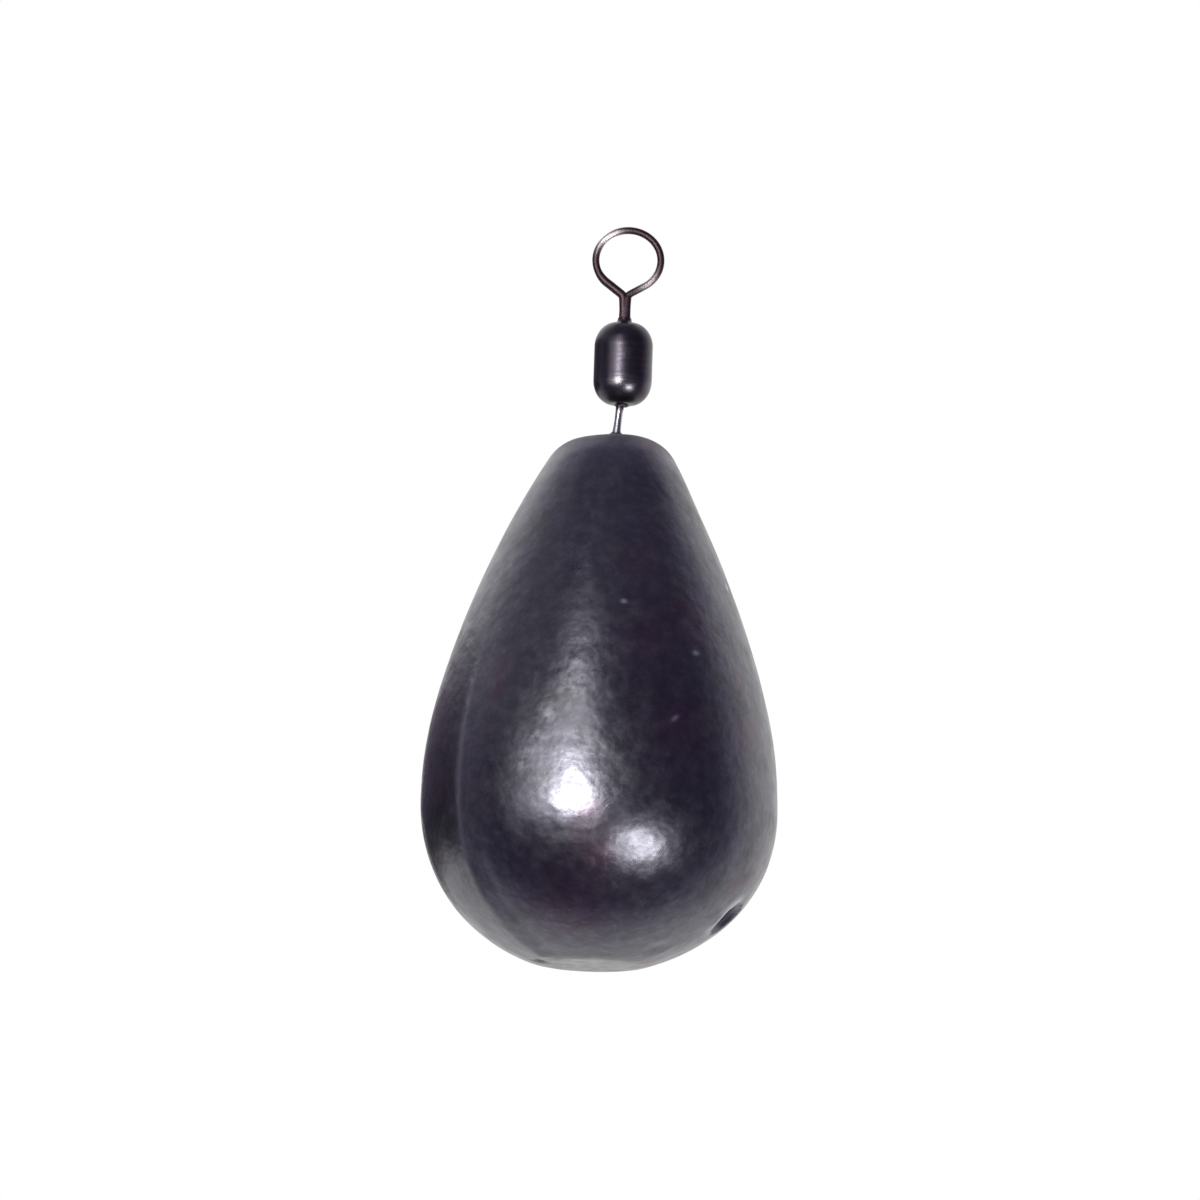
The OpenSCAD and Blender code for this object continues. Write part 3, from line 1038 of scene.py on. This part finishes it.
def lead_material(context):
    """Oxidised lead: soft mottling, purple and pale bloom, dull haze and a few scratches, and
    painted light: a halo round the highlight, a paler crown, a bright pit lip, shade in the pit
    and a pinkish reflection on the left edge.
    """
    finishes = context.scene.sinker_finishes
    material, work = new_material("oxidised_lead")
    spot = surface_mm(work)

    def noise(shift, scale, detail=2.0, roughness=0.5, distortion=0.0):
        """A noise read at a shift, so that it lines up with no other."""
        return work.noise(work.vector("ADD", spot, shift), scale, detail, roughness, distortion)

    # Purple bloom, and on the left edge a painted pinkish reflection
    purple = noise((14.0, 3.0, 8.0), 0.13, 3.0, 0.55).step(0.52, 0.68)
    for place, reach in PURPLE:
        purple = purple.most(work.distance(spot, place).bell(reach))
    dull = noise((2.0, 44.0, 6.0), 0.42, 3.0, 0.55).step(0.48, 0.72)
    flattened = work.vector("MULTIPLY", spot, (0.8, 1.0, 1.5))
    dull = dull.most(work.distance(flattened, (-2.2, -10.0, 22.7)).bell(1.6))
    cloud = noise((21.0, 4.0, 16.0), 1.3, 3.0, 0.55)
    wisps = noise((33.0, 9.0, 1.0), 1.05, 3.0, 0.5).step(0.30, 0.76)
    curdled = noise((51.0, 2.0, 27.0), 1.9, 4.0, 0.62, 0.3)
    fine = noise((6.0, 30.0, 11.0), 4.5, 2.0, 0.6)
    specks = noise((70.0, 12.0, 30.0), 2.2, 1.0, 0.5).step(0.77, 0.81)
    tone = work.mix(purple * 0.55, finishes.lead, finishes.lead_tint)
    tone = work.mix(dull * 0.45, tone, finishes.lead_dull)
    mottle = 0.75 * (cloud - 0.35) + 1.5 * (curdled - 0.5) + 0.40 * (fine - 0.5)
    tone = work.mix(mottle, tone, finishes.lead_pale)
    tone = work.mix(specks * 0.6, tone, finishes.lead_pale)

    for place, way, reach, half in SCARS:
        off = work.vector("SUBTRACT", spot, place)
        run = work.along(off, way)
        across = work.vector("LENGTH", work.vector("SUBTRACT", off, work.scaled(way, run)))
        scar = run.bell(reach) * across.out("Value").bell(half)
        tone = work.mix(scar * 0.55, tone, FRESH_SCAR)

    # The cut base is darker, and the crown is painted paler
    axes = work.axes(spot)
    height = axes.out("Z")
    tone = work.mix(0.40 * (1.0 - height.step(0.02, 0.35)), tone, CUT_BASE)
    # Painted highlight: the bloom mask paints a pale, mottled halo round the lamps' highlight on
    # the front of the belly
    for place, reach, strength in PAINTED_HALO:
        bloom = work.distance(spot, place).bell(reach) * curdled.step(0.34, 0.60)
        tone = work.mix(strength * 0.55 * bloom, tone, HALO_TONE)
    top = LEAD_HIGH.z / MM
    # Painted sheen: the crown is painted paler, as if lit from above
    crown = height.step(top - 3.2, top - 0.6)
    tone = work.mix(crown * (0.15 + 0.9 * cloud), tone, finishes.lead_pale)

    # Fresh metal shows along the parting line, a painted highlight on the pit's front lip, and
    # painted shade inside the pit
    aside = work.along(spot, SEAM_SIDE)
    window = height.step(5.0, 9.0) * (1.0 - height.step(14.0, 20.0))
    tone = work.mix(0.28 * window * aside.bell(0.30), tone, FRESH_SEAM)
    heel = casting_arcs(context.scene.sinker_casting)["heel"]
    pit = place_on(heel, PIT_TURN, PIT_DROP) / MM
    off = work.distance(spot, pit)
    before = 1.0 - axes.out("Y").step(pit.y - 1.3, pit.y - 0.2)
    # Painted highlight: a pale band on the pit's near rim
    tone = work.mix(0.50 * (off - 1.62).bell(0.34) * before, tone, LIP_HIGHLIGHT)
    # Painted shade: the inside of the pit is painted dark, and made rougher
    shaded_pit = 1.0 - off.step(0.80, 1.20)
    tone = work.mix(0.85 * shaded_pit, tone, PIT_SHADE)

    lumps = noise((8.0, 8.0, 21.0), 0.80, 2.0, 0.5)
    grain = noise((3.0, 18.0, 2.0), 3.0, 2.0, 0.5)
    matte = height.step(top - 1.6, top - 0.3)
    rough = 0.27 + 0.08 * wisps + 0.08 * (cloud - 0.5) + 0.05 * dull + 0.32 * matte + 0.3 * shaded_pit
    metal_shader(work, tone, rough, lumps + 0.13 * grain, depth=0.045 * MM)
    return material


def barrel_material(context):
    """Black plating with fine turned lines round the tube."""
    finishes = context.scene.sinker_finishes
    material, work = new_material("black_plating")
    spot = surface_mm(work)
    drawn = work.noise(work.vector("MULTIPLY", spot, (0.5, 0.5, 5.0)), 1.0, 3.0, 0.6)
    cloud = work.noise(spot, 1.3, 3.0, 0.55)
    tone = work.mix(cloud.step(0.40, 0.70) * 0.7, finishes.barrel, BARREL_CLOUD)
    tone = work.mix(drawn.step(0.52, 0.70) * 0.35, tone, BARREL_LINES)

    # Painted highlight: brighter on the lower shoulder, where the lamps' highlights fall, and
    # smoother there
    height = work.axes(spot).out("Z") - BARREL_LOW.z / MM
    glint = (height - 1.1).bell(0.40)
    tone = work.mix(0.45 * glint, tone, BARREL_HIGHLIGHT)
    rough = 0.33 + 0.20 * (cloud - 0.5) + 0.14 * (drawn - 0.5) - 0.05 * glint
    metal_shader(work, tone, rough, drawn * 0.5 + cloud * 0.6, depth=0.016 * MM)
    return material


def wire_material(context):
    """Brown-black plated wire, worn and painted bright as highlights on two places of the ring,
    and bare on the stem.
    """
    finishes = context.scene.sinker_finishes
    material, work = new_material("plated_wire")
    spot = surface_mm(work)
    height = work.axes(spot).out("Z")
    cloud = work.noise(spot, 1.3, 3.0, 0.55)
    plated = work.mix(cloud.step(0.4, 0.7), finishes.wire, WIRE_CLOUD)
    crown, mouth = LEAD_HIGH.z / MM, BARREL_LOW.z / MM
    bare = height.step(crown + 0.25, crown + 0.6) * (1.0 - height.step(mouth - 0.5, mouth - 0.2))
    middle = Vector(((RING_LOW.x + RING_HIGH.x) / 2, 0.0, RING_HIGH.z)) / MM
    # Painted highlight: the worn places of the ring are painted bright where its highlights fall
    worn = 0.0
    for place, reach, strength in WORN_GLINTS:
        glint = strength * work.distance(spot, middle + Vector(place)).bell(reach)
        worn = glint.most(worn)
    tone = work.mix(worn * (0.75 + 0.7 * cloud), plated, finishes.worn)
    tone = work.mix(bare, tone, finishes.stem)
    rough = 0.48 - 0.12 * worn - 0.20 * bare + 0.08 * (cloud - 0.5)
    metal_shader(work, tone, rough, cloud, depth=0.002 * MM)
    return material


# Studio

# Each lamp: where it stands round the lit spot and how large it looks from there, in degrees,
# its share of the lamp distance, and its brightness as a share of one of the studio's
LIT_SPOT = Vector((0.0, -0.0105, 0.0095))
LAMPS = (
    ("key_low", (-19, -1), (20, 8), 0.5, "key_light", 1.0),
    ("key_high", (-17, 3.8), (10, 10), 0.5, "key_light", 1.0),
    ("key_top", (-20, 36), (14, 10), 1.0, "top_light", 0.2),
    ("key_glow", (-21.5, 21), (20, 30), 1.0, "glow_light", 1.6),
    ("left_glow", (-44, 4), (26, 36), 1.0, "glow_light", 0.90),
    ("left_sheet", (-115, 43), (84, 46), 1.0, "glow_light", 0.16),
    ("fill_low", (31, -33), (20, 10), 1.0, "fill_light", 0.95),
    ("fill_glow", (31, -32), (44, 30), 1.0, "glow_light", 0.42),
)

# The dark card at the left, the bowl of the dim room and where it is overhead, as a cosine, the
# floor from left to right and from near to far, and the studio's whites
FLAG_PLACE = Vector((-0.286, 0.467, 0.060))
FLAG_TARGET = Vector((0.70, 0.33, 0.060))
FLAG_WIDTH, FLAG_HEIGHT = 0.79, 0.27
FLAG_SHADE = (0.045, 0.038, 0.06)
BOWL_RADIUS = 1.4
BOWL_EDGE = math.radians(142)
BOWL_ROWS, BOWL_COLUMNS = 32, 48
OVERHEAD = (0.55, 0.98)
FLOOR_REACH = (-3.0, 3.0, -0.34, 6.0)
FLOOR_GLOW = 0.35
RIM_WHITE = (1.12, 1.12, 1.12)
PAPER = (0.86, 0.86, 0.86, 1.0)
WHITE = (1.0, 1.0, 1.0, 1.0)


def aimed(origin, target):
    """A matrix at origin whose -Z points at the target."""
    look = (target - origin).to_track_quat("-Z", "Y").to_matrix().to_4x4()
    return Matrix.Translation(origin) @ look


def from_middle(middle, azimuth, elevation, distance):
    """A point round the object: azimuth to the camera's right, elevation above level."""
    a, e = math.radians(azimuth), math.radians(elevation)
    way = Vector((math.sin(a) * math.cos(e), -math.cos(a) * math.cos(e), math.sin(e)))
    return middle + distance * way


def add_lamp(name, place, target, width, height, power):
    """A rectangular lamp that the camera doesn't see."""
    lamp = bpy.data.lights.new(name, "AREA")
    lamp.shape = "RECTANGLE"
    lamp.size, lamp.size_y = width, height
    lamp.energy = power
    holder = linked(name, lamp)
    holder.matrix_world = aimed(place, target)
    holder.visible_camera = False


def add_lamps(studio):
    """The lamps, each as bright to look at as its radiance says, whatever its size."""
    for name, (azimuth, elevation), spread, share, light, part in LAMPS:
        off = studio.lamp_distance * share
        width, height = (2 * off * math.tan(math.radians(v) / 2) for v in spread)
        power = getattr(studio, light) * part * math.pi * width * height
        place = from_middle(LIT_SPOT, azimuth, elevation, off)
        add_lamp(name, place, LIT_SPOT, width, height, power)


def glow_shader(work, tone):
    """A surface that shines by itself, into the material's output."""
    glow = work.add("ShaderNodeEmission", {}, {"Color": tone, "Strength": 1.0})
    work.add("ShaderNodeOutputMaterial", {}, {"Surface": glow})


def reflected_only(name, mesh, place):
    """A studio surface that only mirror reflections see."""
    card = linked(name, mesh)
    card.matrix_world = place
    card.visible_camera = False
    card.visible_diffuse = False
    card.visible_transmission = False
    card.visible_shadow = False


def add_dark_front(studio, middle):
    """The dim half of the room behind the camera: a wide bowl that pales towards its rim."""
    turns = (BOWL_EDGE * i / BOWL_ROWS for i in range(BOWL_ROWS + 1))
    profile = [(BOWL_RADIUS * math.sin(t), BOWL_RADIUS * math.cos(t)) for t in turns]
    mesh = lathe(profile, BOWL_COLUMNS, closed=False)
    mesh.name = "dark_front"
    mesh.transform(Matrix.Rotation(math.pi / 2, 4, "X"))
    material, work = new_material("dim_room")
    way = work.vector("NORMALIZE", work.add("ShaderNodeTexCoord", {}, [], "Object"))
    ahead = work.along(way, (0.0, -1.0, 0.0))
    pale = 1.0 - ahead.step(studio.room_rim, studio.room_rim + studio.room_fade)
    overhead = work.along(way, (0.0, 0.0, 1.0)).step(*OVERHEAD)
    rim = work.mix(pale, studio.room_half, RIM_WHITE)
    glow_shader(work, work.mix(pale.most(studio.room_lift * overhead), studio.room_dark, rim))
    mesh.materials.append(material)
    reflected_only("dark_front", mesh, Matrix.Translation(middle))


def card_mesh(name, left, right, low, high, level=0.0):
    """A flat four-cornered card."""
    mesh = bpy.data.meshes.new(name)
    corners = [(left, low, level), (right, low, level), (right, high, level), (left, high, level)]
    mesh.from_pydata(corners, [], [(0, 1, 2, 3)])
    return mesh


def add_left_flag():
    """A dark card at the left, paler towards its top, that darkens the casting's left edge."""
    w, h = FLAG_WIDTH / 2, FLAG_HEIGHT / 2
    mesh = card_mesh("left_flag", -w, w, -h, h)
    material, work = new_material("left_flag")
    rise = work.along(work.add("ShaderNodeTexCoord", {}, [], "Object"), (0.0, 1.0, 0.0))
    pale = [4 * v for v in FLAG_SHADE]
    glow_shader(work, work.mix(rise.step(-0.3 * FLAG_HEIGHT, h), FLAG_SHADE, pale))
    mesh.materials.append(material)
    reflected_only("left_flag", mesh, aimed(FLAG_PLACE, FLAG_TARGET))


def add_floor(studio):
    """A pale paper floor under the hanging sinker, white to the camera."""
    mesh = card_mesh("studio_floor", *FLOOR_REACH, -studio.floor_drop)
    material, work = new_material("pale_floor")
    paper = work.add("ShaderNodeBsdfDiffuse", {}, {"Color": PAPER})
    ray = work.add("ShaderNodeLightPath")
    seen = ray.out("Is Camera Ray").most(ray.out("Is Glossy Ray"))
    glow = work.add("ShaderNodeEmission", {}, {"Color": WHITE, "Strength": seen * FLOOR_GLOW})
    both = work.add("ShaderNodeAddShader", {}, [paper, glow])
    work.add("ShaderNodeOutputMaterial", {}, {"Surface": both})
    mesh.materials.append(material)
    floor = linked("studio_floor", mesh)
    floor.visible_glossy = False
    floor.visible_shadow = False


def add_room(studio):
    """White to the camera and to reflections, and a plain soft level on everything else."""
    world = bpy.data.worlds.new("studio_room")
    world.use_nodes = True
    world.node_tree.nodes.clear()
    work = NodeWork(world.node_tree)
    ray = work.add("ShaderNodeLightPath")
    seen = ray.out("Is Camera Ray").most(ray.out("Is Glossy Ray"))
    seen = seen.most(ray.out("Is Transmission Ray"))
    strength = studio.room_light + seen * (1.0 - studio.room_light)
    light = work.add("ShaderNodeBackground", {}, {"Color": WHITE, "Strength": strength})
    work.add("ShaderNodeOutputWorld", {}, {"Surface": light})
    bpy.context.scene.world = world


class SINKER_OT_stage(bpy.types.Operator):
    """Sets up the floor, the room, the lamps and the camera"""

    bl_idname = "sinker.stage"
    bl_label = "Studio"

    def execute(self, context):
        studio = context.scene.sinker_studio
        middle = Vector((studio.middle_side, 0.0, studio.middle_height))
        add_floor(studio)
        add_room(studio)
        add_dark_front(studio, middle)
        add_lamps(studio)
        add_left_flag()
        add_camera(context, studio, middle)
        return {"FINISHED"}


def add_camera(context, studio, middle):
    """The photograph's view: from a little below, with the object leaning to the right."""
    camera = bpy.data.cameras.new("photo_camera")
    camera.sensor_width = 36.0
    camera.lens = camera.sensor_width * studio.camera_distance / studio.picture_width
    camera.dof.use_dof = False
    camera.clip_start, camera.clip_end = 0.01, 20.0
    place = from_middle(middle, 0, -math.degrees(studio.camera_drop), studio.camera_distance)
    holder = linked("photo_camera", camera)
    holder.matrix_world = aimed(place, middle) @ Matrix.Rotation(studio.camera_roll, 4, "Z")
    context.scene.camera = holder
    context.scene.view_settings.view_transform = "Standard"


# Panel and registration


class SINKER_PT_panel(bpy.types.Panel):
    """Lists the sinker's sizes, finishes and builders"""

    bl_idname = "SINKER_PT_panel"
    bl_label = "Sinker"
    bl_space_type = "VIEW_3D"
    bl_region_type = "UI"
    bl_category = "Sinker"

    def draw(self, context):
        layout = self.layout
        for group in GROUPS:
            box = layout.box()
            box.label(text=group.replace("sinker_", "").capitalize())
            settings = getattr(context.scene, group)
            for name in settings.__annotations__:
                box.prop(settings, name)
        for builder in BUILDERS:
            layout.operator(builder.bl_idname)


GROUPS = {
    "sinker_casting": SinkerCastingSizes,
    "sinker_swivel": SinkerSwivelSizes,
    "sinker_finishes": SinkerFinishes,
    "sinker_studio": SinkerStudio,
}
BUILDERS = (SINKER_OT_casting, SINKER_OT_barrel, SINKER_OT_eyes, SINKER_OT_stage)
CLASSES = (*GROUPS.values(), *BUILDERS, SINKER_PT_panel)


def register():
    for cls in CLASSES:
        bpy.utils.register_class(cls)
    for name, group in GROUPS.items():
        setattr(bpy.types.Scene, name, bpy.props.PointerProperty(type=group))


def unregister():
    for name in GROUPS:
        delattr(bpy.types.Scene, name)
    for cls in reversed(CLASSES):
        bpy.utils.unregister_class(cls)


def main():
    register()
    bpy.ops.sinker.casting()
    bpy.ops.sinker.barrel()
    bpy.ops.sinker.eyes()
    bpy.ops.sinker.stage()


if __name__ == "__main__":
    main()
